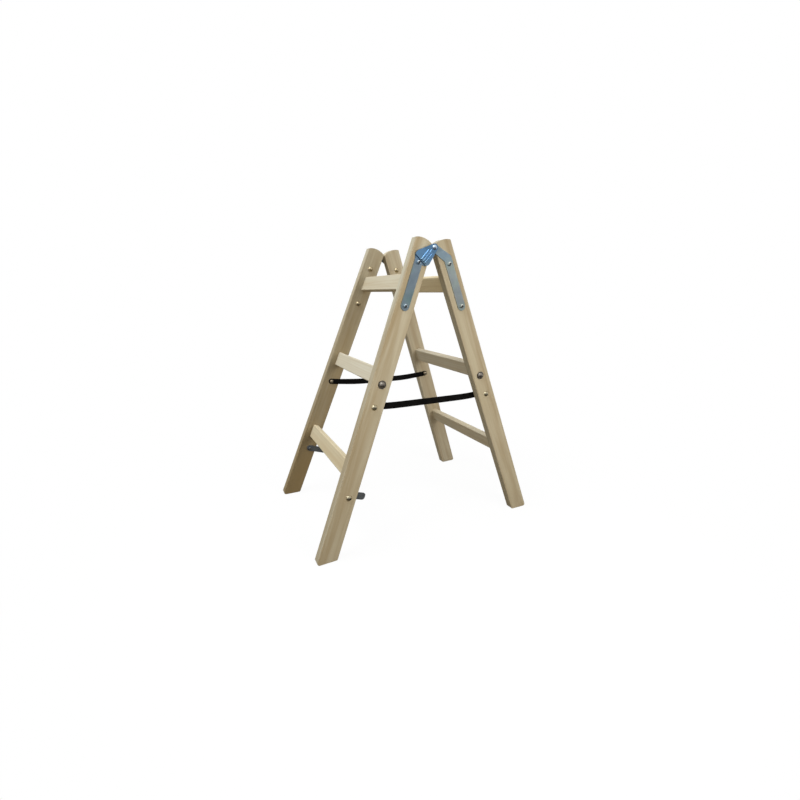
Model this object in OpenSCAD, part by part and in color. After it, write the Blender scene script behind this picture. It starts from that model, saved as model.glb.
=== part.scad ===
// Double-sided wooden trestle ladder, standing open. Millimetres, +Z up, the origin on the floor
// midway between the four feet. The front section leans at -X and the rear section at +X. The near
// side is at -Y. The two sections are hinged on a line along Y above the origin.

/* [Stance] */
// Height of the hinge line above the floor
pivot_height = 869; // [780:1:960]
// Lean of each section from upright, in degrees
lean_angle = 20.4; // [17:0.1:24]
// Width over the stiles at the hinge line
top_width = 356.5; // [330:0.5:390]
// Width over the stiles at the floor
foot_width = 482; // [450:1:530]
// Gap between the stiles of the two sections when folded
fold_gap = 4.8; // [3:0.2:8]

/* [Stiles] */
// Width of a stile, from its inner edge to its outer edge
stile_w = 60; // [54:1:68]
// Thickness of a stile
stile_t = 26; // [23:0.5:30]
// Rounding along the long edges of a stile
stile_edge_r = 3; // [1:0.25:5]
// Height of the top corners of a stile above the hinge line
stile_top = 3.75; // [1:0.25:7]
// Rise of the rounded stile top above its two corners
crown_rise = 8; // [5:0.5:12]
// Rounding of the corners of a foot
foot_corner_r = 8; // [4:0.5:12]

/* [Rungs] */
// Distance from the hinge line down the section to the middle of the top rung
first_rung_drop = 113.25; // [105:0.25:126]
// Distance from one rung to the next along the section
rung_pitch = 280; // [260:1:300]
// How much lower the bottom rung sits than an even pitch would put it
bottom_rung_lower = 5; // [0:0.5:8]
// Height of a rung along the section
rung_h = 48; // [42:1:54]
// Thickness of a rung
rung_t = 20; // [17:0.5:24]
// Distance from the inner edge of the stile to the inner face of the rung
rung_setback = 18; // [14:0.5:22]
// Rounding along the edges of a rung
rung_edge_r = 3; // [1:0.25:5]
// Height of a tenon along the section
tenon_h = 32; // [26:1:36]
// Thickness of a tenon
tenon_t = 11; // [8:0.5:14]
// Length of a tenon inside the stile
tenon_len = 17; // [12:0.5:20]

/* [Hinges] */
// Thickness of a hinge plate
hinge_t = 2.5; // [2:0.1:3]
// Width of the strap of a hinge plate
hinge_strap_w = 26; // [23:0.5:28]
// Diameter of the eye of a hinge plate
hinge_eye_d = 21; // [19:0.5:24]
// Distance of the hinge bolts outward from the middle of the stile
hinge_bolt_out = 1.2; // [0:0.1:3]
// Distance down the section from the hinge line to the upper hinge bolt
hinge_bolt_drop = 57; // [55:0.5:62]
// Distance along the stile from the upper hinge bolt to the lower one
hinge_bolt_pitch = 126; // [110:1:140]
// Distance down the section from the hinge line to the elbow of a rear plate
elbow_drop = 42; // [38:0.5:46]
// How far the lobe of a front plate swells past the width of its strap
lobe_swell = 3.5; // [2:0.5:5]
// Diameter of the hinge pin
pin_d = 8; // [6:0.5:9]
// Diameter of the domed head of the hinge pin
pin_head_d = 14; // [12:0.5:16]
// Height of the domed head of the hinge pin
pin_head_h = 4.5; // [3:0.5:6]
// Width of one pressed rib on a front plate
rib_w = 5.2; // [4:0.2:5.6]
// Height of a pressed rib above the plate
rib_h = 2; // [0.8:0.1:2.2]
// Distance between the ribs
rib_pitch = 7; // [6:0.5:8]
// Length of the middle rib
rib_len = 42; // [34:0.5:44]
// Slant of the ribs from the length of the section, in degrees
rib_slant = 22; // [18:1:26]

/* [Fasteners] */
// Diameter of the bolts
bolt_d = 6; // [5:0.5:8]
// Diameter of a domed bolt head
bolt_head_d = 17; // [14:0.5:19]
// Height of a domed bolt head
bolt_head_h = 6; // [3:0.2:7]
// Width across the flats of a hex nut
nut_af = 10; // [9.5:0.5:13]
// Height of a hex nut
nut_h = 5; // [4:0.5:7]
// Length of thread that stands out of a nut
thread_out = 1.5; // [1:0.5:4]
// Diameter of the washers under the strap and keeper nuts
washer_d = 12; // [11.5:0.5:16]
// Thickness of those washers
washer_t = 1.5; // [1:0.25:2]

/* [Tie rods] */
// Diameter of a tie rod
tie_rod_d = 8; // [6:0.5:9]
// Height of the tie rod above the underside of the middle rung
tie_rod_inset = 7; // [6:0.5:10]
// Diameter of a tie rod washer
tie_washer_d = 24; // [21:0.5:27]
// Thickness of a tie rod washer
tie_washer_t = 2.5; // [2:0.25:3]
// Diameter of the dome of a tie rod nut
tie_nut_d = 18; // [16:0.5:20]
// Height of the dome of a tie rod nut
tie_nut_h = 6.5; // [5:0.5:8]

/* [Straps] */
// Distance along the stile from the tie rod down to the strap bolt
strap_below_rod = 67.5; // [56:0.5:80]
// Width of the webbing
strap_w = 20; // [18:0.5:25]
// Thickness of the webbing
strap_t = 2; // [1.5:0.1:3]
// Length of webbing past the bolt
strap_tail = 10; // [9:0.5:16]
// Sag of the near strap below the line between its bolts
strap_sag_near = 8; // [3:0.5:14]
// Sag of the far strap below the line between its bolts
strap_sag_far = 7; // [3:0.5:14]

/* [Keepers] */
// Distance along the stile from the middle of the bottom rung down to the keeper bolt
keeper_below_rung = 66; // [64:1:80]
// Distance of the keeper bolt from the inner edge of the stile
keeper_bolt_in = 24; // [20:0.5:28]
// Length of a keeper from its bolt to its tip
keeper_reach = 63; // [56:1:68]
// Width of a keeper
keeper_w = 20.5; // [19:0.5:24]
// Thickness of a keeper
keeper_t = 5; // [4:0.25:6]
// Rounding of the upper corner at the tip of a keeper
keeper_tip_r = 6; // [2:0.5:7.5]
// Rounding of the lower corner at the tip of a keeper
keeper_heel_r = 9; // [4:0.5:10.5]
// Angle of a keeper above square to the stile, in degrees
keeper_angle = 2; // [-10:1:20]

/* [Clearances] */
// Gap between a bolt and the hole it passes through, on the radius
hole_gap = 0.25; // [0.1:0.05:0.5]
// Gap between a thread and its nut, on the radius
thread_gap = 0.06; // [0.02:0.02:0.1]
// Running gap between the hinge pin and the rear plate, on the radius
pin_gap = 0.05; // [0.02:0.01:0.1]
// Gap between the hinge plates that slide past each other
plate_gap = 0.4; // [0.3:0.05:0.6]
// Gap between a keeper and the stile, and between a keeper and its washer
keeper_gap = 0.5; // [0.4:0.05:0.8]
// Gap between a strap and the stile
strap_gap = 0.2; // [0.1:0.05:0.3]
// Gap at the end of a tenon
tenon_end_gap = 1; // [0.5:0.25:2]

/* [Hidden] */
$fn = 64;

// Each stile splays outward down the section by this slope and angle
splay_slope = (foot_width - top_width) / 2 * cos(lean_angle) / pivot_height;
splay_angle = atan(splay_slope);

// A hex nut: radius over its corners, and the radius of the ball that crowns its face
nut_r = nut_af / 2 / cos(30);
nut_crown = 2;
nut_crown_r = (nut_r * nut_r + nut_crown * nut_crown) / (2 * nut_crown);

// Across a stile: u is the distance from the hinge line, square to the section's length
stile_in = fold_gap / 2;
stile_out = stile_in + stile_w;
stile_mid = stile_in + stile_w / 2;
hinge_u = stile_mid + hinge_bolt_out;
rung_mid = stile_in + rung_setback + rung_t / 2;
keeper_u = stile_in + keeper_bolt_in;

// Down a section: drop is the distance from the hinge line along the section's length
middle_rung_drop = first_rung_drop + rung_pitch;
rung_drops = [first_rung_drop, middle_rung_drop, middle_rung_drop + rung_pitch + bottom_rung_lower];
rod_drop = rung_drops[1] + rung_h / 2 - tie_rod_inset;
strap_drop = rod_drop + strap_below_rod;
keeper_drop = rung_drops[2] + keeper_below_rung;
lower_hinge_drop = hinge_bolt_drop + hinge_bolt_pitch;
hinge_drops = [hinge_bolt_drop, lower_hinge_drop];
section_len = (pivot_height + stile_out * sin(lean_angle)) / cos(lean_angle);

// Extra length on cutting shapes: a long one to pass through everything and a short one
overrun = 40;
cut = 1;

// Half the width over the stiles, half the width between them, and the length along a stile
function outer_half(drop) = top_width / 2 + drop * splay_slope;
function inner_half(drop) = outer_half(drop) - stile_t / cos(splay_angle);
function along(drop) = drop / cos(splay_angle);
function foot_drop(u) = (pivot_height + u * sin(lean_angle)) / cos(lean_angle);

// Stand-off of the hinge plates outside the plane of the stile faces at the hinge line
eye_r = hinge_eye_d / 2;
rear_eye_off = eye_r * splay_slope + plate_gap;
front_eye_off = rear_eye_off + hinge_t + plate_gap;
rear_bend_drop = rear_eye_off / splay_slope;
// The front plate steps down to the stile square to its ribs, this far above its upper bolt
nut_clear = 3.2;
step_rise = nut_r + nut_clear;
// The flat tail of the hinge pin, and the gap behind it in the rear plate
pin_tail_d = pin_d + 3;
pin_tail_t = 1;
pin_tail_gap = 0.15;

// The strap lies flat on the inner faces of both stiles, in a plane leaned a little about X
strap_along = along(strap_drop);
strap_foot = stile_t * sin(splay_angle) + strap_along * cos(splay_angle);
strap_bolt_x = stile_mid * cos(lean_angle) + strap_foot * sin(lean_angle);
strap_bolt_y = stile_t * cos(splay_angle) - strap_along * sin(splay_angle) - top_width / 2;
strap_bolt_z = pivot_height + stile_mid * sin(lean_angle) - strap_foot * cos(lean_angle);
strap_lean = -atan(splay_slope * cos(lean_angle));
strap_turn = asin(sin(splay_angle) * sin(lean_angle));
strap_edge_x = strap_bolt_x - (stile_mid - stile_in) / cos(lean_angle);

// Height above the stile's inner face of what the strap and keeper nuts press on
strap_seat = stile_t + strap_gap + strap_t;
keeper_seat = stile_t + keeper_gap + keeper_t + keeper_gap;

module pine() { color([0.82, 0.72, 0.54]) children(); }
module zinc() { color([0.62, 0.69, 0.74]) children(); }
module steel() { color([0.72, 0.73, 0.74]) children(); }
module webbing() { color([0.06, 0.06, 0.07]) children(); }
module gunmetal() { color([0.25, 0.26, 0.28]) children(); }

// A section's frame: the hinge line along Y at the origin, X across the stile, Z up the section
module in_section(front) {
    translate([0, 0, pivot_height]) mirror([front ? 1 : 0, 0, 0]) rotate([0, -lean_angle, 0]) children();
}

// Shapes are drawn for the near side and mirrored for the far one
module on_side(near) {
    mirror([0, near ? 0 : 1, 0]) children();
}

module on_both_sides() {
    for (near = [true, false]) on_side(near) children();
}

// A near stile's frame: Y is 0 on its outer face and stile_t on its inner face, Z up its length
module on_stile() {
    translate([0, -top_width / 2, 0]) rotate([-splay_angle, 0, 0]) children();
}

// A place on a stile's face, with the children's Z pointing through the thickness, inward or outward
module at_face(u, drop, y = 0, inward = true) {
    on_stile() translate([u, y, -along(drop)]) rotate([inward ? -90 : 90, 0, 0]) children();
}

// A place on a line along Y, at a distance from the middle of the ladder, with Z pointing inward
module on_cross_line(u, drop, half) {
    translate([u, -half, -drop]) rotate([-90, 0, 0]) children();
}

module rounded_rect(size, r) {
    translate([r, 0]) square([size[0] - 2 * r, size[1]]);
    translate([0, r]) square([size[0], size[1] - 2 * r]);
    for (x = [r, size[0] - r], y = [r, size[1] - r]) translate([x, y]) circle(r);
}

// A flat shape drawn in X and Z, thickened along Y about the middle of the ladder
module across(width) {
    rotate([90, 0, 0]) linear_extrude(height = width, center = true) children();
}

// A flat shape drawn in Y and Z, thickened along X from x0 to x1
module along_x(x0, x1) {
    translate([x0, 0, 0]) rotate([90, 0, 90]) linear_extrude(height = x1 - x0) children();
}

module dome(d, h) {
    ball_r = (d * d / 4 + h * h) / (2 * h);
    intersection() {
        translate([0, 0, h - ball_r]) sphere(ball_r);
        cylinder(d = d + cut, h = h);
    }
}

// Points along an arc
function arc(centre, r, from, to, steps = 8) =
    [for (i = [0:steps]) let (a = from + (to - from) * i / steps) centre + r * [cos(a), sin(a)]];

// Centre of a rounded foot corner that touches the floor
function foot_centre(u) = [u, foot_corner_r / cos(lean_angle) - foot_drop(u)];

// Side outline of a stile: straight edges, foot cut level with the floor, round corners there
module stile_outline() {
    down = -90 - lean_angle;
    polygon(concat(
        [[stile_in, stile_top + crown_rise + cut], [stile_out, stile_top + crown_rise + cut]],
        arc(foot_centre(stile_out - foot_corner_r), foot_corner_r, 0, down),
        arc(foot_centre(stile_in + foot_corner_r), foot_corner_r, down, -180)
    ));
}

// What is cut away above the round top of a stile
module crown_cut() {
    crown_r = (stile_w * stile_w / 4 + crown_rise * crown_rise) / (2 * crown_rise);
    difference() {
        translate([stile_in - overrun, stile_top]) square([stile_w + 2 * overrun, crown_rise + overrun]);
        translate([stile_mid, stile_top + crown_rise - crown_r]) circle(crown_r, $fn = 128);
    }
}

module tenons(extra) {
    for (drop = rung_drops) {
        translate([rung_mid, 0, -drop])
            cube([tenon_t, 2 * (inner_half(drop) + tenon_len + extra), tenon_h], center = true);
    }
}

module bolt_hole(u, drop) {
    at_face(u, drop, -overrun) cylinder(d = bolt_d + 2 * hole_gap, h = stile_t + 2 * overrun);
}

module tie_rod_hole() {
    on_cross_line(rung_mid, rod_drop, outer_half(rod_drop) + overrun)
        cylinder(d = tie_rod_d + 2 * hole_gap, h = 2 * (outer_half(rod_drop) + overrun));
}

// Flat seat for a tie rod washer, cut square to the rod into the splayed outer face
tie_seat_d = tie_washer_d + 4 * hole_gap;
tie_seat_half = outer_half(rod_drop - tie_seat_d / 2);

module tie_seat_cut() {
    on_cross_line(rung_mid, rod_drop, tie_seat_half + overrun) cylinder(d = tie_seat_d, h = overrun);
}

module stile(front, near) {
    pine() in_section(front) on_side(near) difference() {
        intersection() {
            across(2 * foot_width) stile_outline();
            on_stile() translate([stile_in, 0, -along(section_len) - overrun])
                linear_extrude(height = along(section_len) + 2 * overrun)
                    rounded_rect([stile_w, stile_t], stile_edge_r);
        }
        across(2 * foot_width) crown_cut();
        tenons(tenon_end_gap);
        tie_rod_hole();
        tie_seat_cut();
        for (drop = hinge_drops) bolt_hole(hinge_u, drop);
        bolt_hole(stile_mid, strap_drop);
        if (front) bolt_hole(keeper_u, keeper_drop);
    }
}

// A rung: a planed bar with its shoulders cut to the splay of the stiles and a tenon at each end
module rung(front, index) {
    drop = rung_drops[index];
    top = drop - rung_h / 2;
    bottom = drop + rung_h / 2;
    pine() in_section(front) difference() {
        union() {
            intersection() {
                translate([rung_mid - rung_t / 2, 0, -bottom])
                    across(foot_width) rounded_rect([rung_t, rung_h], rung_edge_r);
                along_x(stile_in, stile_out) polygon([
                    [-inner_half(top), -top], [inner_half(top), -top],
                    [inner_half(bottom), -bottom], [-inner_half(bottom), -bottom]
                ]);
            }
            translate([rung_mid, 0, -drop])
                cube([tenon_t, 2 * (inner_half(drop) + tenon_len), tenon_h], center = true);
        }
        if (index == 1) {
            tie_rod_hole();
            groove_w = tie_rod_d + 2 * hole_gap;
            translate([rung_mid - groove_w / 2, -foot_width / 2, -bottom - cut])
                cube([groove_w, foot_width, bottom - rod_drop + cut]);
        }
    }
}

// Tie rod: a plain rod whose ends screw into the two domed nuts
tie_nut_half = tie_seat_half + tie_washer_t;
tie_nut_bore = 4.5;
rod_end_gap = 0.5;

module tie_rod(front) {
    rod_half = tie_nut_half + tie_nut_bore - rod_end_gap;
    steel() in_section(front) on_cross_line(rung_mid, rod_drop, rod_half)
        cylinder(d = tie_rod_d, h = 2 * rod_half);
}

module tie_washers(front) {
    steel() in_section(front) on_both_sides()
        on_cross_line(rung_mid, rod_drop, tie_nut_half) difference() {
            cylinder(d = tie_washer_d, h = tie_washer_t);
            translate([0, 0, -cut]) cylinder(d = tie_rod_d + 2 * hole_gap, h = tie_washer_t + 2 * cut);
        }
}

module tie_nuts(front) {
    steel() in_section(front) on_both_sides()
        on_cross_line(rung_mid, rod_drop, tie_nut_half) difference() {
            mirror([0, 0, 1]) dome(tie_nut_d, tie_nut_h);
            translate([0, 0, -tie_nut_bore])
                cylinder(d = tie_rod_d + 2 * thread_gap, h = tie_nut_bore + cut);
        }
}

// The rounds that a hinge plate's outline runs around, each [across, down, radius]
hinge_eye = [0, 0, eye_r];
strap_end = [hinge_u, lower_hinge_drop, hinge_strap_w / 2];
rear_elbow = [hinge_u, elbow_drop, hinge_strap_w / 2];
lobe_shoulder = [hinge_u, elbow_drop - lobe_swell, hinge_strap_w / 2 + lobe_swell];
lobe_toe = [hinge_u / 2, elbow_drop, eye_r + 2 * lobe_swell];
strap_in = hinge_u - hinge_strap_w / 2;
round_steps = 12;

function round_centre(disc) = [disc[0], -disc[1]];
function round_arc(disc, from, to) = arc(round_centre(disc), disc[2], from, to, round_steps);

// Angle at which the straight run from round a to round b leaves a and meets b, going anticlockwise
function run_angle(a, b) =
    let (
        span = round_centre(b) - round_centre(a),
        angle = atan2(span[1], span[0]) - acos((a[2] - b[2]) / norm(span))
    )
    angle < 0 ? angle + 360 : angle;

// Each outline goes from the lower end of the strap up its outer edge, round the eye and back
lobe_start = -acos(hinge_strap_w / 2 / lobe_shoulder[2]);
lobe_stop = 360 - acos((strap_in - lobe_toe[0]) / lobe_toe[2]);
front_outline = concat(
    round_arc(strap_end, 180, 360),
    round_arc(lobe_shoulder, lobe_start, run_angle(lobe_shoulder, hinge_eye)),
    round_arc(hinge_eye, run_angle(lobe_shoulder, hinge_eye), run_angle(hinge_eye, lobe_toe)),
    round_arc(lobe_toe, run_angle(hinge_eye, lobe_toe), lobe_stop)
);
under_arm = run_angle(hinge_eye, rear_elbow);
rear_outline = concat(
    round_arc(strap_end, 180, 360),
    round_arc(rear_elbow, 0, run_angle(rear_elbow, hinge_eye)),
    round_arc(hinge_eye, run_angle(rear_elbow, hinge_eye), under_arm),
    [[strap_in, (eye_r - strap_in * cos(under_arm)) / sin(under_arm)]]
);

// A bent sheet seen along X is a path of [drop, stand-off] points and the same path lifted outward
function lifted(path, off) = [for (point = path) point + [0, off]];

module sheet_between(inner, outer) {
    function at(point) = [-top_width / 2 - point[1], -point[0]];
    inside = [for (point = inner) at(point)];
    outside = [for (i = [len(outer) - 1:-1:0]) at(outer[i])];
    along_x(-overrun, stile_out) polygon(concat(inside, outside));
}

front_lift = hinge_t + plate_gap;
flat_path = [for (drop = [-overrun, section_len / 2]) [drop, drop * splay_slope]];
rear_path = [[-overrun, rear_eye_off], [rear_bend_drop, rear_eye_off], flat_path[1]];
raised_path = [
    [-overrun, front_eye_off], [rear_bend_drop, front_eye_off], flat_path[1] + [0, front_lift]
];

// All that lies between two heights above the upper bolt, along the ribs
module along_ribs(from, to) {
    across(2 * foot_width) translate([hinge_u, -hinge_bolt_drop]) rotate(rib_slant)
        translate([-lower_hinge_drop, from]) square([2 * lower_hinge_drop, to - from]);
}

// A front plate: the strap flat on the stile, the lobe raised over the rear plate, and the step between
module front_sheet() {
    reach = 2 * lower_hinge_drop;
    difference() {
        intersection() {
            across(2 * foot_width) polygon(front_outline);
            sheet_between(flat_path, lifted(raised_path, hinge_t));
        }
        intersection() {
            along_ribs(-reach, step_rise);
            sheet_between(lifted(flat_path, hinge_t), lifted(flat_path, overrun));
        }
        intersection() {
            along_ribs(step_rise + hinge_t, reach);
            sheet_between(lifted(flat_path, -cut), raised_path);
        }
    }
}

module rear_sheet() {
    intersection() {
        across(2 * foot_width) polygon(rear_outline);
        sheet_between(rear_path, lifted(rear_path, hinge_t));
    }
}

// Pressed ribs side by side on the raised lobe of a front plate, the outer two shorter
module hinge_ribs() {
    rib_r = (rib_w * rib_w / 4 + rib_h * rib_h) / (2 * rib_h);
    face = front_lift + hinge_t;
    foot = step_rise + rib_w / 2;
    middle = hinge_bolt_out + rib_pitch;
    at_bolt = [hinge_u, -face, -along(hinge_bolt_drop)];
    on_stile() translate(at_bolt) rotate([0, -rib_slant, 0]) intersection() {
        for (i = [-1:1]) translate([i * rib_pitch - middle, rib_r - rib_h, foot])
            cylinder(r = rib_r, h = rib_len - abs(i) * rib_pitch);
        translate([-4 * rib_pitch, -2 * rib_h, 0])
            cube([5 * rib_pitch, 2 * rib_h + hinge_t / 2, 2 * rib_len]);
    }
}

module pin_hole(r) {
    on_cross_line(0, 0, top_width / 2 + overrun) cylinder(r = r, h = 2 * overrun);
}

module hinge_plate(front, near) {
    zinc() in_section(front) on_side(near) difference() {
        union() {
            if (front) {
                front_sheet();
                hinge_ribs();
            } else {
                rear_sheet();
            }
        }
        for (drop = hinge_drops) bolt_hole(hinge_u, drop);
        pin_hole(pin_d / 2 + (front ? 0 : pin_gap));
        if (!front) {
            on_cross_line(0, 0, top_width / 2 + rear_eye_off + pin_tail_t + pin_tail_gap)
                cylinder(d = pin_tail_d + 2 * hole_gap, h = overrun);
        }
    }
}

// Hinge pin: a domed rivet, tight in the front plate, with a flat tail let into the rear plate
module hinge_pin(near) {
    head_half = top_width / 2 + front_eye_off + hinge_t;
    tail_half = top_width / 2 + rear_eye_off;
    zinc() translate([0, 0, pivot_height]) on_side(near) {
        on_cross_line(0, 0, head_half) {
            mirror([0, 0, 1]) dome(pin_head_d, pin_head_h);
            cylinder(d = pin_d, h = head_half - tail_half);
        }
        on_cross_line(0, 0, tail_half + pin_tail_t) cylinder(d = pin_tail_d, h = pin_tail_t);
    }
}

// Bolt with a domed head. Seat is where the head sits, far is the end of the nut.
module bolt(u, drop, seat, far) {
    at_face(u, drop, seat, far > seat) {
        mirror([0, 0, 1]) dome(bolt_head_d, bolt_head_h);
        cylinder(d = bolt_d, h = abs(far - seat) + thread_out);
    }
}

// Hex nut with a crowned face
module hex_nut(u, drop, seat, inward = true) {
    at_face(u, drop, seat, inward) difference() {
        intersection() {
            cylinder(r = nut_r, h = nut_h + cut, $fn = 6);
            translate([0, 0, nut_h - nut_crown_r]) sphere(nut_crown_r);
        }
        translate([0, 0, -cut]) cylinder(d = bolt_d + 2 * thread_gap, h = nut_h + 2 * cut);
    }
}

module washer(u, drop, seat) {
    at_face(u, drop, seat) difference() {
        cylinder(d = washer_d, h = washer_t);
        translate([0, 0, -cut]) cylinder(d = bolt_d + 2 * hole_gap, h = washer_t + 2 * cut);
    }
}

// Hinge bolts: heads on the wood inside, nuts on the plates outside
hinge_face = -hinge_t * cos(splay_angle);

module hinge_bolts(front) {
    steel() in_section(front) on_both_sides() for (drop = hinge_drops) {
        bolt(hinge_u, drop, stile_t, hinge_face - nut_h);
    }
}

module hinge_nuts(front) {
    zinc() in_section(front) on_both_sides() for (drop = hinge_drops) {
        hex_nut(hinge_u, drop, hinge_face, inward = false);
    }
}

module strap_bolts(front) {
    steel() in_section(front) on_both_sides() bolt(stile_mid, strap_drop, 0, strap_seat + washer_t + nut_h);
}

module strap_washers(front) {
    steel() in_section(front) on_both_sides() washer(stile_mid, strap_drop, strap_seat);
}

module strap_nuts(front) {
    steel() in_section(front) on_both_sides() hex_nut(stile_mid, strap_drop, strap_seat + washer_t);
}

// Webbing strap: flat on both stiles with round ends, slack between them so that it hangs in a curve
strap_steps = 18;
// Power of its curve: steep beside the bolts and nearly straight between
strap_curve = 4;

module strap(near) {
    sag = near ? strap_sag_near : strap_sag_far;
    tail_x = strap_bolt_x + strap_tail;
    end_r = strap_w / 2;
    end_x = tail_x - end_r;
    function hang(x) = [x, sag * (pow(x / strap_bolt_x, strap_curve) - 1)];
    run = [for (i = [1:strap_steps - 1]) hang(end_x * (2 * i / strap_steps - 1))];
    upper = [for (point = run) point + [0, end_r]];
    lower = [for (i = [len(run) - 1:-1:0]) run[i] - [0, end_r]];
    front_end = arc(hang(-end_x), end_r, 270, 90);
    rear_end = arc(hang(end_x), end_r, 90, -90);
    function face_y(x) = (strap_bolt_x - x) * tan(strap_turn) + strap_gap;
    outline = [
        [-tail_x, face_y(tail_x)], [-strap_edge_x, face_y(strap_edge_x)],
        [strap_edge_x, face_y(strap_edge_x)], [tail_x, face_y(tail_x)]
    ];
    inside = [for (i = [len(outline) - 1:-1:0]) outline[i] + [0, strap_t]];
    webbing() on_side(near) difference() {
        translate([0, strap_bolt_y, strap_bolt_z]) rotate([strap_lean, 0, 0]) intersection() {
            linear_extrude(height = 4 * strap_w, center = true) polygon(concat(outline, inside));
            across(top_width) polygon(concat(upper, rear_end, lower, front_end));
        }
        for (front = [true, false]) in_section(front) bolt_hole(stile_mid, strap_drop);
    }
}

// Keeper bar: turns on its bolt, with a round end there and a tip squarer above than below
module keeper_outline() {
    half_w = keeper_w / 2;
    circle(half_w);
    translate([0, -half_w]) square([keeper_reach - keeper_heel_r, keeper_w]);
    translate([0, keeper_heel_r - half_w]) square([keeper_reach, keeper_w - keeper_heel_r - keeper_tip_r]);
    square([keeper_reach - keeper_tip_r, half_w]);
    translate([keeper_reach - keeper_heel_r, keeper_heel_r - half_w]) circle(keeper_heel_r);
    translate([keeper_reach - keeper_tip_r, half_w - keeper_tip_r]) circle(keeper_tip_r);
}

module keeper(near) {
    gunmetal() in_section(true) on_side(near) difference() {
        on_stile() translate([keeper_u, stile_t + keeper_gap + keeper_t, -along(keeper_drop)])
            rotate([90, 0, 0]) mirror([1, 0, 0]) rotate(keeper_angle)
                linear_extrude(height = keeper_t) keeper_outline();
        bolt_hole(keeper_u, keeper_drop);
    }
}

module keeper_bolt_set() {
    steel() in_section(true) on_both_sides() bolt(keeper_u, keeper_drop, 0, keeper_seat + washer_t + nut_h);
}

module keeper_washer_set() {
    steel() in_section(true) on_both_sides() washer(keeper_u, keeper_drop, keeper_seat);
}

module keeper_nut_set() {
    steel() in_section(true) on_both_sides() hex_nut(keeper_u, keeper_drop, keeper_seat + washer_t);
}

stile(true, true);  // front_stile_near
stile(true, false);  // front_stile_far
stile(false, true);  // rear_stile_near
stile(false, false);  // rear_stile_far
rung(true, 0);  // front_rung_top
rung(true, 1);  // front_rung_middle
rung(true, 2);  // front_rung_bottom
rung(false, 0);  // rear_rung_top
rung(false, 1);  // rear_rung_middle
rung(false, 2);  // rear_rung_bottom
tie_rod(true);  // front_tie_rod
tie_rod(false);  // rear_tie_rod
tie_washers(true);  // front_tie_washers
tie_washers(false);  // rear_tie_washers
tie_nuts(true);  // front_tie_nuts
tie_nuts(false);  // rear_tie_nuts
hinge_plate(true, true);  // front_hinge_plate_near
hinge_plate(true, false);  // front_hinge_plate_far
hinge_plate(false, true);  // rear_hinge_plate_near
hinge_plate(false, false);  // rear_hinge_plate_far
hinge_pin(true);  // hinge_pin_near
hinge_pin(false);  // hinge_pin_far
hinge_bolts(true);  // front_hinge_bolts
hinge_bolts(false);  // rear_hinge_bolts
hinge_nuts(true);  // front_hinge_nuts
hinge_nuts(false);  // rear_hinge_nuts
strap_bolts(true);  // front_strap_bolts
strap_bolts(false);  // rear_strap_bolts
strap_washers(true);  // front_strap_washers
strap_washers(false);  // rear_strap_washers
strap_nuts(true);  // front_strap_nuts
strap_nuts(false);  // rear_strap_nuts
strap(true);  // strap_near
strap(false);  // strap_far
keeper(true);  // keeper_near
keeper(false);  // keeper_far
keeper_bolt_set();  // keeper_bolts
keeper_washer_set();  // keeper_washers
keeper_nut_set();  // keeper_nuts
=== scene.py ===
"""Looks of the trestle ladder: pine boards, zinc hinges, steel fasteners, webbing straps, keeper bars."""
import math

import bmesh
import bpy
from mathutils import Matrix, Vector


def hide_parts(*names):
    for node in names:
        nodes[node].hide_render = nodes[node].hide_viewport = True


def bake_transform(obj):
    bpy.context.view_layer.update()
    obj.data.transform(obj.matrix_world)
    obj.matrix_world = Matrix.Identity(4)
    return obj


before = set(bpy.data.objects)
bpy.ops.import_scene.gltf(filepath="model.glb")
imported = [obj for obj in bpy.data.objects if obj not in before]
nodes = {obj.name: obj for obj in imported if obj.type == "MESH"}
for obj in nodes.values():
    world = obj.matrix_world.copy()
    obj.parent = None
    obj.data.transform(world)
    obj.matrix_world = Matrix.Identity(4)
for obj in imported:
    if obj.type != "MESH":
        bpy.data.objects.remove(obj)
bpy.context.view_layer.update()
scene = bpy.context.scene
scene.view_settings.view_transform = "Standard"

# Sizes of the ladder in metres, the same as in the part's source
HINGE_Z = 0.869
LEAN = math.radians(20.4)
TOP_HALF = 0.17825
FOOT_HALF = 0.241
STILE_T = 0.026
STILE_MID = 0.0324
STILE_HALF_W = 0.030
STRAP_DROP = 0.47775
STRAP_W = 0.020
STRAP_T = 0.002
STRAP_TAIL = 0.010
STRAP_CURVE = 4
STRAP_GAP = 0.0002
BOLT_HOLE_R = 0.00325

SPLAY_SLOPE = (FOOT_HALF - TOP_HALF) * math.cos(LEAN) / HINGE_Z
SPLAY = math.atan(SPLAY_SLOPE)

# Directions of the rear near board: across it, up the section, inward through it and up its length
ACROSS = Vector((math.cos(LEAN), 0, math.sin(LEAN)))
SECTION_UP = Vector((-math.sin(LEAN), 0, math.cos(LEAN)))
SIDE = Vector((0, 1, 0))
INWARD = math.cos(SPLAY) * SIDE - math.sin(SPLAY) * SECTION_UP
BOARD_UP = math.sin(SPLAY) * SIDE + math.cos(SPLAY) * SECTION_UP


def srgb(red, green, blue):
    """A colour given as it looks on a screen, 0 to 255, turned into the renderer's linear colour."""
    def linear(value):
        value = value / 255
        return value / 12.92 if value <= 0.04045 else ((value + 0.055) / 1.055) ** 2.4
    return (linear(red), linear(green), linear(blue), 1)


def add(tree, kind, inputs=None, **settings):
    """Makes a shader node. Inputs go by socket name or number, and hold a value
    or another node's output."""
    made = tree.nodes.new("ShaderNode" + kind)
    for name, value in settings.items():
        setattr(made, name, value)
    for key, value in (inputs or {}).items():
        if isinstance(value, bpy.types.NodeSocket):
            tree.links.new(value, made.inputs[key])
        else:
            made.inputs[key].default_value = value
    return made


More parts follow.
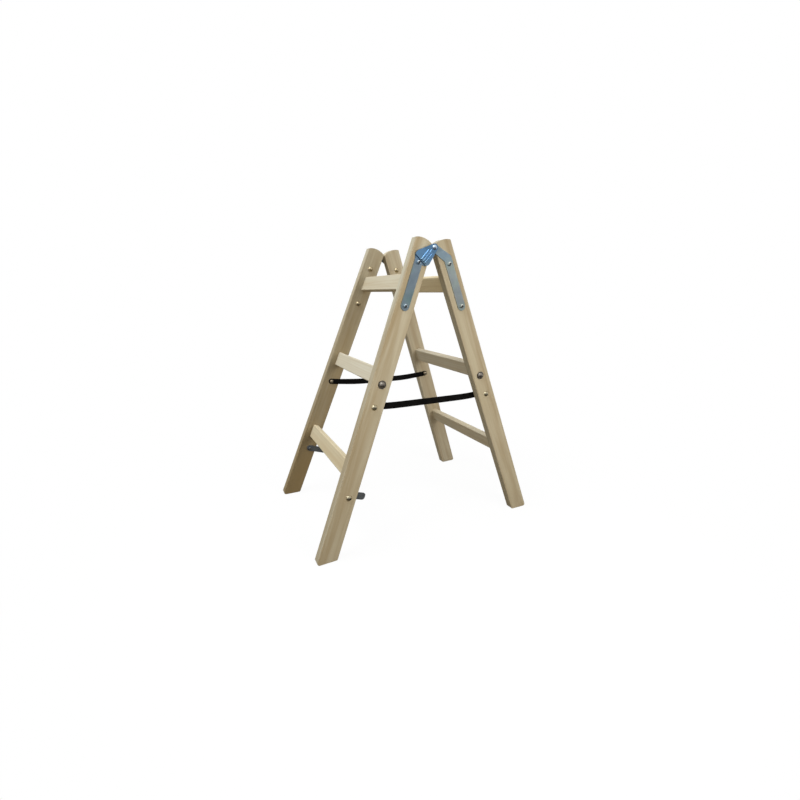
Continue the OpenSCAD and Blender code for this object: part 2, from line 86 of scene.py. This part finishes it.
def math_node(tree, operation, a, b=0.0):
    return add(tree, "Math", {0: a, 1: b}, operation=operation).outputs[0]


def mix(tree, factor, a, b):
    return add(tree, "Mix", {0: factor, 6: a, 7: b}, data_type="RGBA").outputs[2]


def ramp(tree, factor, stops):
    """A colour ramp through (position, colour) stops."""
    made = add(tree, "ValToRGB", {0: factor})
    elements = made.color_ramp.elements
    while len(elements) < len(stops):
        elements.new(0.5)
    for element, (position, colour) in zip(elements, stops):
        element.position = position
        element.color = colour
    return made.outputs[0]


def map_range(tree, factor, low, high, start, end):
    """Stretches the range from low to high of a value over start to end."""
    return add(tree, "MapRange", {0: factor, 1: low, 2: high, 3: start, 4: end}).outputs[0]


def level(tree, factor, low, high):
    """Stretches the range from low to high of a value over 0 to 1."""
    return map_range(tree, factor, low, high, 0.0, 1.0)


def noise(tree, vector, scale, detail=2.0, rough=0.5, seed=0.0):
    inputs = {"Vector": vector, "W": seed, "Scale": scale, "Detail": detail, "Roughness": rough}
    return add(tree, "TexNoise", inputs, noise_dimensions="4D").outputs[0]


def new_material(name):
    """An empty node material, with its shader already joined to the output."""
    made = bpy.data.materials.new(name)
    made.use_nodes = True
    tree = made.node_tree
    tree.nodes.clear()
    shader = add(tree, "BsdfPrincipled")
    output = add(tree, "OutputMaterial")
    tree.links.new(shader.outputs[0], output.inputs[0])
    return made, tree, shader


def dot(tree, vector, direction):
    made = add(tree, "VectorMath", {0: vector, 1: tuple(direction)}, operation="DOT_PRODUCT")
    return made.outputs["Value"]


def from_hinge(tree, near):
    """Object coordinates from the hinge line, turned over so that both sections fall on the rear one.
    With near, both sides of the ladder fall on the near one as well."""
    place = add(tree, "TexCoord").outputs["Object"]
    split = add(tree, "SeparateXYZ", {0: place}).outputs
    x = math_node(tree, "ABSOLUTE", split[0])
    y = split[1]
    if near:
        y = math_node(tree, "MULTIPLY", math_node(tree, "ABSOLUTE", split[1]), -1.0)
    z = math_node(tree, "SUBTRACT", split[2], HINGE_Z)
    return add(tree, "CombineXYZ", {0: x, 1: y, 2: z}).outputs[0]


def board_place(tree, across, through, length):
    """Coordinates in a board's own directions, so that the grain runs along it."""
    place = from_hinge(tree, length == BOARD_UP)
    parts = {0: dot(tree, place, across), 1: dot(tree, place, through), 2: dot(tree, place, length)}
    return add(tree, "CombineXYZ", parts).outputs[0]


def stretched(tree, place, scales):
    """The same place with the directions across the board and along it scaled apart."""
    across, along = scales
    scale = (across, across, along)
    return add(tree, "VectorMath", {0: place, 1: scale}, operation="MULTIPLY").outputs[0]


# Tones of a board: pale wood, middle wood, the dark side of a growth ring, and a streak
STILE_TONES = (srgb(213, 207, 187), srgb(201, 191, 165), srgb(169, 151, 117), srgb(168, 146, 111))
PALE_STILE_TONES = (srgb(221, 215, 195), srgb(209, 199, 174), srgb(178, 160, 128), srgb(177, 155, 122))
DEEP_STILE_TONES = (srgb(199, 191, 169), srgb(187, 176, 149), srgb(159, 141, 109), srgb(157, 137, 106))
RUNG_TONES = (srgb(220, 212, 190), srgb(209, 197, 170), srgb(188, 166, 128), srgb(196, 177, 144))
PALE_RUNG_TONES = (srgb(229, 223, 206), srgb(220, 211, 188), srgb(200, 181, 148), srgb(208, 192, 163))
WARM_RUNG_TONES = (srgb(231, 221, 195), srgb(222, 207, 173), srgb(201, 178, 137), srgb(209, 188, 151))
GOLD_RUNG_TONES = (srgb(226, 212, 178), srgb(215, 197, 157), srgb(190, 165, 122), srgb(199, 176, 136))
# A browner tone that boards darken to towards their lower ends: partly heartwood, partly painted shade
HEARTWOOD_AND_SHADE = srgb(146, 124, 84)

# How fine the wood's patterns are across a board and along it
WANDER_SCALES = (14, 1.3)
STREAK_SCALES = (46, 2.6)
FIBRE_SCALES = (900, 16)
PATCH_SCALES = (9, 2.4)

# Growth rings in metres, the brown band, and how far below the hinge line the darkening of heartwood tone and
# painted shade starts and is full
RING_PITCH = 0.0042
RING_WANDER = 0.018
BAND_HALF = 0.024
BAND_WAVER = 0.04
BROWN_START = 0.1
BROWN_END = 0.8

# How strongly each of them colours the wood
STREAK_SHARE = 0.5
BAND_SHARE = 0.65
RING_SHARE = 0.30
FIBRE_SHARE = 0.24

# Radius of a board's softened edges, height of its grain, and the height of the rings against the fibres
ARRIS = 0.0012
WOOD_GRAIN = 0.0004
RING_RELIEF = 0.6


def pine(name, directions, tones, pith, brown, seed):
    """Planed pine: growth rings about a pith line, a brown band and soft streaks, fine fibres, a dull sheen
    and edges with the sharp arris taken off. Brown is the share of darkening at the board's lower end, partly
    heartwood tone and partly painted shade."""
    made, tree, shader = new_material(name)
    pale, middle, late, dark = tones
    place = board_place(tree, *directions)

    # Growth rings: distance from a pith line that wanders a little
    wander = noise(tree, stretched(tree, place, WANDER_SCALES), 1.0, 2.0, 0.5, seed)
    split = add(tree, "SeparateXYZ", {0: place}).outputs
    from_pith = [math_node(tree, "SUBTRACT", split[i], pith[i]) for i in range(2)]
    squares = [math_node(tree, "POWER", math_node(tree, "ABSOLUTE", part), 2.0) for part in from_pith]
    radius = math_node(tree, "SQRT", math_node(tree, "ADD", *squares))
    radius = math_node(tree, "ADD", radius, math_node(tree, "MULTIPLY", wander, RING_WANDER))
    ring = math_node(tree, "FRACT", math_node(tree, "DIVIDE", radius, RING_PITCH))
    ring_shade = ramp(tree, ring, [
        (0.0, (0, 0, 0, 1)), (0.45, (0.12, 0.12, 0.12, 1)), (0.86, (1, 1, 1, 1)), (1.0, (0, 0, 0, 1))])

    # A wavering brown band down the board, broad soft streaks, then fine fibres
    streaks = noise(tree, stretched(tree, place, STREAK_SCALES), 1.0, 4.0, 0.6, seed + 3)
    streak = level(tree, streaks, 0.38, 0.66)
    fibre = noise(tree, stretched(tree, place, FIBRE_SCALES), 1.0, 3.0, 0.6, seed + 7)
    patch = noise(tree, stretched(tree, place, PATCH_SCALES), 1.0, 2.0, 0.5, seed + 11)
    waver = math_node(tree, "MULTIPLY", math_node(tree, "SUBTRACT", patch, 0.5), BAND_WAVER)
    off_band = math_node(tree, "ABSOLUTE", math_node(tree, "ADD", from_pith[0], waver))
    band = level(tree, off_band, BAND_HALF, 0.0)

    colour = mix(tree, level(tree, patch, 0.3, 0.7), middle, pale)
    stains = (
        (streak, STREAK_SHARE, dark),
        (math_node(tree, "MULTIPLY", band, streak), BAND_SHARE, dark),
        (ring_shade, RING_SHARE, late),
        (level(tree, fibre, 0.42, 0.8), FIBRE_SHARE, late),
        # Darker towards the lower end: partly heartwood tone, partly painted shade
        (level(tree, split[2], -BROWN_START, -BROWN_END), brown, HEARTWOOD_AND_SHADE),
    )
    for where, share, stain in stains:
        colour = mix(tree, math_node(tree, "MULTIPLY", where, share), colour, stain)
    tree.links.new(colour, shader.inputs["Base Color"])

    tree.links.new(map_range(tree, fibre, 0.2, 0.8, 0.52, 0.72), shader.inputs["Roughness"])
    height = math_node(tree, "ADD", fibre, math_node(tree, "MULTIPLY", ring_shade, RING_RELIEF))
    softened = add(tree, "Bevel", {"Radius": ARRIS}).outputs[0]
    relief = {"Strength": 0.22, "Distance": WOOD_GRAIN, "Height": height, "Normal": softened}
    tree.links.new(add(tree, "Bump", relief).outputs[0], shader.inputs["Normal"])
    shader.inputs["Specular IOR Level"].default_value = 0.35
    return made


BLUED = srgb(120, 168, 214)
LILAC = srgb(164, 172, 196)
TEAL = srgb(146, 186, 182)
# A darker colour for the bare thread ends of the hinge bolts
DARK_THREAD = srgb(92, 94, 96)

# The plating is blue as far as the first of these below the hinge line, and plain from the second
BLUE_FULL = 0.035
BLUE_GONE = 0.065

# Where a hinge bolt's bare thread begins, outside the stile's face
THREAD_OUT = 0.0045
THREAD_EASE = 0.001
THREAD_FROM = -TOP_HALF * math.cos(SPLAY) - THREAD_OUT

# Blotches to the metre, and how the wear shares out between them and the fine grain
SHEET_MOTTLE = 45.0
FASTENER_MOTTLE = 180.0
BAR_MOTTLE = 120.0
SHIMMER_SCALE = 24.0
GRAIN_FINER = 9
BLOTCH_WEAR = 0.6
GRAIN_WEAR = 0.4

# Height of the grain on plated metal and on the keeper bars
METAL_GRAIN = 0.0001
BAR_GRAIN = 0.0002


def metal(name, tones, roughness, spread, mottle, seed, grain_height=METAL_GRAIN, metallic=1.0,
          blue=0.0, tinted=0.0, threads=False):
    """Plated metal: mottled colour and roughness, and a light grain in the surface.
    Blue is how strongly the plating turns blue towards the hinge pin, and tinted how far it shimmers.
    With threads, what stands out of the hinge plates, the bare thread of a bolt, is drawn darker."""
    made, tree, shader = new_material(name)
    dark, light = tones
    place = add(tree, "TexCoord").outputs["Object"]
    blotch = noise(tree, place, mottle, 4.0, 0.6, seed)
    grain = noise(tree, place, mottle * GRAIN_FINER, 2.0, 0.5, seed + 5)
    colour = mix(tree, level(tree, blotch, 0.34, 0.66), dark, light)
    if tinted:
        hue = noise(tree, place, SHIMMER_SCALE, 2.0, 0.5, seed + 17)
        shimmer = mix(tree, level(tree, hue, 0.4, 0.6), LILAC, TEAL)
        colour = mix(tree, tinted, colour, shimmer)
    if blue:
        below = math_node(tree, "MULTIPLY", dot(tree, from_hinge(tree, True), SECTION_UP), -1.0)
        near_pin = map_range(tree, below, BLUE_FULL, BLUE_GONE, blue, 0.0)
        colour = mix(tree, near_pin, colour, BLUED)
    if threads:
        through = dot(tree, from_hinge(tree, True), INWARD)
        outside = level(tree, through, THREAD_FROM, THREAD_FROM - THREAD_EASE)
        colour = mix(tree, outside, colour, DARK_THREAD)
    tree.links.new(colour, shader.inputs["Base Color"])
    broad = math_node(tree, "MULTIPLY", blotch, BLOTCH_WEAR)
    fine = math_node(tree, "MULTIPLY", grain, GRAIN_WEAR)
    worn = math_node(tree, "ADD", broad, fine)
    rough = map_range(tree, worn, 0.3, 0.7, roughness - spread, roughness + spread)
    tree.links.new(rough, shader.inputs["Roughness"])
    bump = add(tree, "Bump", {"Strength": 0.3, "Distance": grain_height, "Height": grain})
    tree.links.new(bump.outputs[0], shader.inputs["Normal"])
    shader.inputs["Metallic"].default_value = metallic
    return made


YARN_PITCH = 0.0016
YARN_HEIGHT = 0.0003


def woven(name):
    """Black woven webbing: a close diagonal weave and dusty wear."""
    made, tree, shader = new_material(name)
    place = add(tree, "TexCoord").outputs["Object"]
    split = add(tree, "SeparateXYZ", {0: place}).outputs
    slant = math_node(tree, "ADD", split[0], split[2])
    other = math_node(tree, "SUBTRACT", split[0], split[2])
    turns = 2 * math.pi / YARN_PITCH
    yarns = [math_node(tree, "SINE", math_node(tree, "MULTIPLY", way, turns)) for way in (slant, other)]
    weave = math_node(tree, "MULTIPLY", *yarns)
    dust = noise(tree, place, 60.0, 4.0, 0.6, 2.0)
    colour = mix(tree, level(tree, dust, 0.4, 0.75), srgb(9, 9, 9), srgb(22, 21, 21))
    colour = mix(tree, level(tree, weave, 0.2, 1.6), colour, srgb(28, 27, 27))
    tree.links.new(colour, shader.inputs["Base Color"])
    bump = add(tree, "Bump", {"Strength": 0.6, "Distance": YARN_HEIGHT, "Height": weave})
    tree.links.new(bump.outputs[0], shader.inputs["Normal"])
    shader.inputs["Roughness"].default_value = 0.82
    shader.inputs["Sheen Weight"].default_value = 0.03
    shader.inputs["Specular IOR Level"].default_value = 0.08
    return made


# The camera stands where the photographer stood
CAMERA_PLACE = Vector((-0.6190, -1.1880, 0.7372))
CAMERA_YAW = math.radians(-27.2)
CAMERA_DOWN = math.radians(14.83)
CAMERA_ROLL = math.radians(0.76)
CAMERA_LENS = 17.73
CAMERA_SENSOR = 36
CAMERA_CLIP = 0.02

forward = Vector((
    -math.sin(CAMERA_YAW) * math.cos(CAMERA_DOWN),
    math.cos(CAMERA_YAW) * math.cos(CAMERA_DOWN),
    -math.sin(CAMERA_DOWN)))
right = Vector((math.cos(CAMERA_YAW), math.sin(CAMERA_YAW), 0))
upward = right.cross(forward)
rolled_right = right * math.cos(CAMERA_ROLL) + upward * math.sin(CAMERA_ROLL)
rolled_up = upward * math.cos(CAMERA_ROLL) - right * math.sin(CAMERA_ROLL)
camera = bpy.data.objects.new("camera", bpy.data.cameras.new("camera"))
camera.data.lens = CAMERA_LENS
camera.data.sensor_width = CAMERA_SENSOR
camera.data.clip_start = CAMERA_CLIP
turned = Matrix((rolled_right, rolled_up, -forward)).transposed().to_4x4()
camera.matrix_world = Matrix.Translation(CAMERA_PLACE) @ turned
scene.collection.objects.link(camera)
scene.camera = camera

# Webbing straps: flat on the stiles at both ends and slack between them
strap_along = STRAP_DROP / math.cos(SPLAY)
strap_foot = STILE_T * math.sin(SPLAY) + strap_along * math.cos(SPLAY)
BOLT_X = STILE_MID * math.cos(LEAN) + strap_foot * math.sin(LEAN)
BOLT_Y = STILE_T * math.cos(SPLAY) - strap_along * math.sin(SPLAY) - TOP_HALF
BOLT_Z = HINGE_Z + STILE_MID * math.sin(LEAN) - strap_foot * math.cos(LEAN)
STRAP_LEAN = -math.atan(SPLAY_SLOPE * math.cos(LEAN))
STRAP_TURN = math.asin(math.sin(SPLAY) * math.sin(LEAN))
STRAP_EDGE_X = BOLT_X - STILE_HALF_W / math.cos(LEAN)

# How far a slack strap bows inward, and how far in from a bolt a held point is set
STRAP_BOW = 0.006
STRAP_HELD = 0.008

# Shape of the webbing: ribs along it, edges that thin over a share of its width, ends that thin to their tips
STRAP_RIBS = 6
RIB_DEPTH = 0.10
EDGE_THIN = 0.25
EDGE_SHARE = 1 / 12
END_THIN = 0.35
END_EASE = 0.0015

# How finely the webbing is drawn
STRAP_STATIONS = 120
STRAP_END_STATIONS = 14
STRAP_END_SWEEP = math.radians(84)
STRAP_POINTS = 36
WELD = 1e-6


def strap_section():
    """Outline of the webbing: shallow ribs along it on both faces, thinner at its woven edges."""
    outline = []
    for face in (1, -1):
        for i in range(STRAP_POINTS + 1):
            share = i / STRAP_POINTS
            across = (0.5 - share) * STRAP_W * face
            rib = 1 - RIB_DEPTH + RIB_DEPTH * math.cos(2 * math.pi * STRAP_RIBS * share)
            edge = min(1, min(share, 1 - share) / EDGE_SHARE) ** 0.5
            thin = EDGE_THIN + (1 - EDGE_THIN) * edge
            outline.append((across, face * STRAP_T / 2 * thin * rib))
    return outline


def strap_stations():
    """Places along a strap from its middle, each with its share of the full width. The ends are round."""
    end_r = STRAP_W / 2
    end_x = BOLT_X + STRAP_TAIL - end_r
    stations = [(end_x * (2 * i / STRAP_STATIONS - 1), 1.0) for i in range(STRAP_STATIONS + 1)]
    for i in range(1, STRAP_END_STATIONS + 1):
        angle = STRAP_END_SWEEP * i / STRAP_END_STATIONS
        for end in (1, -1):
            stations.append((end * (end_x + end_r * math.sin(angle)), math.cos(angle)))
    return sorted(stations)


def make_strap(name, sag, twist, side):
    """A strap between the front and rear stiles of one side. Its free middle sags, bows inward and twists."""
    made = bmesh.new()
    tail = BOLT_X + STRAP_TAIL
    section = strap_section()
    rings = []
    for x, width in strap_stations():
        flat = min(max(abs(x), STRAP_EDGE_X), tail)
        y = (BOLT_X - flat) * math.tan(STRAP_TURN) + STRAP_GAP + STRAP_T / 2
        hung = min(abs(x), tail - STRAP_W / 2)
        z = sag * ((hung / BOLT_X) ** STRAP_CURVE - 1)
        free = max(0, 1 - (x / STRAP_EDGE_X) ** 2)
        ease = free * free * (3 - 2 * free)
        angle = twist * ease
        y += STRAP_BOW * ease + STRAP_W / 2 * abs(math.sin(angle))
        end = min(1, (tail - abs(x)) / END_EASE + END_THIN)
        ring = []
        for across, through in section:
            turned_z = across * width * math.cos(angle) - through * end * math.sin(angle)
            turned_y = across * width * math.sin(angle) + through * end * math.cos(angle)
            place = Matrix.Rotation(STRAP_LEAN, 3, "X") @ Vector((x, y + turned_y, z + turned_z))
            place += Vector((0, BOLT_Y, BOLT_Z))
            ring.append(made.verts.new((place.x, side * place.y, place.z)))
        rings.append(ring)
    count = len(section)
    for first, second in zip(rings, rings[1:]):
        for i in range(count):
            made.faces.new((first[i], first[(i + 1) % count], second[(i + 1) % count], second[i]))
    made.faces.new(rings[0])
    made.faces.new(rings[-1])
    bmesh.ops.remove_doubles(made, verts=made.verts, dist=WELD)
    bmesh.ops.recalc_face_normals(made, faces=made.faces)
    mesh = bpy.data.meshes.new(name)
    made.to_mesh(mesh)
    made.free()
    for polygon in mesh.polygons:
        polygon.use_smooth = True
    strap = bpy.data.objects.new(name, mesh)
    scene.collection.objects.link(strap)
    return strap


DRILL_DEPTH = 0.03
DRILL_SIDES = 32


def drill(piece, place, direction, radius):
    """Cuts a round hole through a piece."""
    tool = bmesh.new()
    bmesh.ops.create_cone(
        tool, cap_ends=True, segments=DRILL_SIDES, radius1=radius, radius2=radius, depth=DRILL_DEPTH)
    mesh = bpy.data.meshes.new("drill")
    tool.to_mesh(mesh)
    tool.free()
    cutter = bpy.data.objects.new("drill", mesh)
    cutter.matrix_world = Matrix.Translation(place) @ direction.to_track_quat("Z", "Y").to_matrix().to_4x4()
    scene.collection.objects.link(cutter)
    cut = piece.modifiers.new("hole", "BOOLEAN")
    cut.object = cutter
    cut.operation = "DIFFERENCE"
    cut.solver = "EXACT"
    bpy.context.view_layer.update()
    cut_piece = piece.evaluated_get(bpy.context.evaluated_depsgraph_get())
    shaped = bpy.data.meshes.new_from_object(cut_piece)
    piece.modifiers.clear()
    piece.data = shaped
    bpy.data.objects.remove(cutter)


# Each strap: its side of the ladder, its sag and the twist of its middle
webbing = woven("webbing")
STRAPS = {"near": (1, 0.008, 0.0), "far": (-1, 0.007, math.radians(-28))}
for where, (side, sag, twist) in STRAPS.items():
    strap = make_strap("webbing_strap_" + where, sag, twist, side)
    for end in (1, -1):
        bolt = Vector((end * BOLT_X, side * BOLT_Y, BOLT_Z))
        drill(strap, bolt, Vector((end * INWARD.x, side * INWARD.y, INWARD.z)), BOLT_HOLE_R)
    strap.data.materials.append(webbing)
    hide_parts("strap_" + where)
    held_x = BOLT_X - STRAP_HELD
    end = (held_x, side * BOLT_Y, BOLT_Z)
    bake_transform(strap)

# Wood: each board's directions, its tones, its pith line's place across it and through it, its share of
# heartwood tone and painted shade at its lower end, and its seed
STILE_WAYS = (ACROSS, INWARD, BOARD_UP)
RUNG_WAYS = (ACROSS, SECTION_UP, SIDE)
BOARDS = {
    "front_stile_near": (STILE_WAYS, STILE_TONES, (0.055, 0.075), 0.20, 1.0),
    "front_stile_far": (STILE_WAYS, STILE_TONES, (0.028, -0.060), 0.85, 14.0),
    "rear_stile_near": (STILE_WAYS, DEEP_STILE_TONES, (0.052, 0.082), 0.0, 27.0),
    "rear_stile_far": (STILE_WAYS, PALE_STILE_TONES, (0.045, -0.070), 0.10, 40.0),
    "front_rung_top": (RUNG_WAYS, RUNG_TONES, (0.090, -0.100), 0.0, 53.0),
    "front_rung_middle": (RUNG_WAYS, PALE_RUNG_TONES, (0.075, -0.360), 0.0, 66.0),
    "front_rung_bottom": (RUNG_WAYS, WARM_RUNG_TONES, (0.085, -0.690), 0.0, 79.0),
    "rear_rung_top": (RUNG_WAYS, GOLD_RUNG_TONES, (-0.040, -0.130), 0.0, 92.0),
    "rear_rung_middle": (RUNG_WAYS, PALE_RUNG_TONES, (0.095, -0.420), 0.0, 105.0),
    "rear_rung_bottom": (RUNG_WAYS, RUNG_TONES, (-0.035, -0.650), 0.0, 118.0),
}


def dress(name, material):
    slots = nodes[name].data.materials
    slots.clear()
    slots.append(material)


for name, board in BOARDS.items():
    dress(name, pine("pine_" + name, *board))

# Metals: from the zinc of the hinges to the dull dark steel of the keepers
front_zinc = metal(
    "front_zinc", (srgb(150, 176, 182), srgb(172, 196, 200)), 0.38, 0.08, SHEET_MOTTLE, 4.0,
    blue=0.9, tinted=0.40)
rear_zinc = metal(
    "rear_zinc", (srgb(200, 210, 206), srgb(220, 228, 222)), 0.38, 0.08, SHEET_MOTTLE, 6.0,
    blue=0.35, tinted=0.28)
front_nut_zinc = metal(
    "front_nut_zinc", (srgb(206, 224, 232), srgb(228, 240, 246)), 0.30, 0.06, FASTENER_MOTTLE, 20.0)
rear_nut_zinc = metal(
    "rear_nut_zinc", (srgb(226, 228, 216), srgb(244, 244, 234)), 0.30, 0.06, FASTENER_MOTTLE, 23.0)
pin_zinc = metal(
    "pin_zinc", (srgb(190, 208, 226), srgb(212, 226, 240)), 0.46, 0.06, FASTENER_MOTTLE, 26.0)
steel = metal(
    "steel", (srgb(174, 164, 138), srgb(198, 188, 160)), 0.32, 0.07, FASTENER_MOTTLE, 9.0)
hinge_steel = metal(
    "hinge_steel", (srgb(178, 162, 130), srgb(200, 184, 150)), 0.36, 0.07, FASTENER_MOTTLE, 10.0,
    threads=True)
strap_nut_steel = metal(
    "strap_nut_steel", (srgb(222, 206, 178), srgb(242, 228, 202)), 0.38, 0.07, FASTENER_MOTTLE, 29.0)
dull_steel = metal(
    "dull_steel", (srgb(136, 129, 121), srgb(164, 157, 147)), 0.50, 0.06, FASTENER_MOTTLE, 12.0)
gunmetal = metal(
    "gunmetal", (srgb(92, 98, 104), srgb(116, 121, 127)), 0.50, 0.12, BAR_MOTTLE, 15.0,
    grain_height=BAR_GRAIN, metallic=0.35)

METALS = {
    "hinge_pin_near": pin_zinc, "hinge_pin_far": pin_zinc,
    "front_hinge_plate_near": front_zinc, "front_hinge_plate_far": front_zinc,
    "rear_hinge_plate_near": rear_zinc, "rear_hinge_plate_far": rear_zinc,
    "front_hinge_nuts": front_nut_zinc, "rear_hinge_nuts": rear_nut_zinc,
    "front_hinge_bolts": hinge_steel, "rear_hinge_bolts": hinge_steel,
    "front_strap_nuts": strap_nut_steel, "rear_strap_nuts": strap_nut_steel,
    "front_strap_washers": strap_nut_steel, "rear_strap_washers": strap_nut_steel,
    "keeper_near": gunmetal, "keeper_far": gunmetal,
    "keeper_washers": gunmetal, "keeper_nuts": gunmetal,
}
SOFT = ("strap_near", "strap_far")
for name in nodes:
    if "_tie_" in name:
        dress(name, dull_steel)
    elif name not in BOARDS and name not in SOFT:
        dress(name, METALS.get(name, steel))

# Studio: a white floor and white surroundings, a soft key from the left and a fill from the camera's side
GLOW_LOW = 0.15
GLOW_HIGH = 0.62
FLOOR_HALF = 6.0
FLOOR_Z = -0.0002
FLOOR_BOUNCE = (0.26, 0.22, 0.16, 1)
FLOOR_WHITE = (0.95, 0.95, 0.95, 1)

# The floor keeps the shadow as far from its middle as the first of these, and is plain white from the second
SHADOW_KEPT = 0.45
SHADOW_GONE = 1.1
NEAR_WHITE = 0.94


def seen_directly(tree):
    """1 for rays from the camera and for those seen in metal or through glass, 0 for the rest."""
    path = add(tree, "LightPath").outputs
    both = math_node(tree, "MAXIMUM", path["Is Camera Ray"], path["Is Glossy Ray"])
    return math_node(tree, "MAXIMUM", both, path["Is Transmission Ray"])


world = bpy.data.worlds.new("studio")
world.use_nodes = True
tree = world.node_tree
tree.nodes.clear()
up = add(tree, "SeparateXYZ", {0: add(tree, "TexCoord").outputs["Generated"]}).outputs[2]
glow = map_range(tree, up, 0.0, 1.0, GLOW_LOW, GLOW_HIGH)
around = add(tree, "Background", {"Color": (1, 1, 1, 1), "Strength": glow})
behind = add(tree, "Background", {"Color": (1, 1, 1, 1), "Strength": 1.0})
choice = add(tree, "MixShader", {0: seen_directly(tree), 1: around.outputs[0], 2: behind.outputs[0]})
add(tree, "OutputWorld", {0: choice.outputs[0]})
scene.world = world

floor_mesh = bpy.data.meshes.new("floor")
square = ((-1, -1), (1, -1), (1, 1), (-1, 1))
corners = [(x * FLOOR_HALF, y * FLOOR_HALF, FLOOR_Z) for x, y in square]
floor_mesh.from_pydata(corners, [], [(0, 1, 2, 3)])
floor = bpy.data.objects.new("floor", floor_mesh)
scene.collection.objects.link(floor)
floor_material = bpy.data.materials.new("floor")
floor_material.use_nodes = True
tree = floor_material.node_tree
tree.nodes.clear()
bounce = add(tree, "BsdfDiffuse", {"Color": FLOOR_BOUNCE})
shaded = add(tree, "BsdfDiffuse", {"Color": FLOOR_WHITE})
white = add(tree, "Emission", {"Color": (1, 1, 1, 1), "Strength": 1.0})
place = add(tree, "TexCoord").outputs["Object"]
away = add(tree, "VectorMath", {0: place}, operation="LENGTH").outputs["Value"]
plain = map_range(tree, away, SHADOW_KEPT, SHADOW_GONE, NEAR_WHITE, 1.0)
seen = add(tree, "MixShader", {0: plain, 1: shaded.outputs[0], 2: white.outputs[0]})
whole = add(tree, "MixShader", {0: seen_directly(tree), 1: bounce.outputs[0], 2: seen.outputs[0]})
add(tree, "OutputMaterial", {0: whole.outputs[0]})
floor_mesh.materials.append(floor_material)


def softbox(name, place, aim, size, power, tint, seen_in_metal=True):
    lamp = bpy.data.lights.new(name, "AREA")
    lamp.shape = "RECTANGLE"
    lamp.size = size[0]
    lamp.size_y = size[1]
    lamp.energy = power
    lamp.color = tint
    holder = bpy.data.objects.new(name, lamp)
    holder.location = place
    holder.rotation_euler = (Vector(aim) - Vector(place)).to_track_quat("-Z", "Y").to_euler()
    holder.visible_glossy = seen_in_metal
    scene.collection.objects.link(holder)


softbox("key", (-1.85, 0.0, 3.6), (0, 0, 0.4), (2.0, 2.0), 98.0, (0.93, 0.98, 1.0))
softbox("fill", (0.45, -1.45, 0.95), (0, 0, 0.45), (0.9, 0.9), 13.4, (1.0, 0.95, 0.85), seen_in_metal=False)

# Grey walls beside the ladder and a dark floor before them, seen only in the metal, to give it shape
CARD_NEAR = 0.0
CARD_FAR = 2.4
CARD_HALF = 3.0
CARD_TOP = 1.7
CARD_FLOOR = 0.0004
WALL_SHADE = 0.36
FLOOR_SHADE = 0.05


def card(name, corners, shade):
    mesh = bpy.data.meshes.new(name)
    mesh.from_pydata(corners, [], [(0, 1, 2, 3)])
    made = bpy.data.materials.new(name)
    made.use_nodes = True
    tree = made.node_tree
    tree.nodes.clear()
    glow = add(tree, "Emission", {"Color": (shade, shade, shade, 1), "Strength": 1.0})
    add(tree, "OutputMaterial", {0: glow.outputs[0]})
    mesh.materials.append(made)
    piece = bpy.data.objects.new(name, mesh)
    piece.visible_camera = False
    piece.visible_diffuse = False
    piece.visible_transmission = False
    piece.visible_shadow = False
    scene.collection.objects.link(piece)


widths = (-CARD_HALF, CARD_HALF, CARD_HALF, -CARD_HALF)
heights = (0, 0, CARD_TOP, CARD_TOP)
for where, side in (("near", -1), ("far", 1)):
    wall_y = side * CARD_FAR
    depths = (side * CARD_NEAR, side * CARD_NEAR, wall_y, wall_y)
    card("wall_card_" + where, [(x, wall_y, z) for x, z in zip(widths, heights)], WALL_SHADE)
    card("floor_card_" + where, [(x, y, CARD_FLOOR) for x, y in zip(widths, depths)], FLOOR_SHADE)
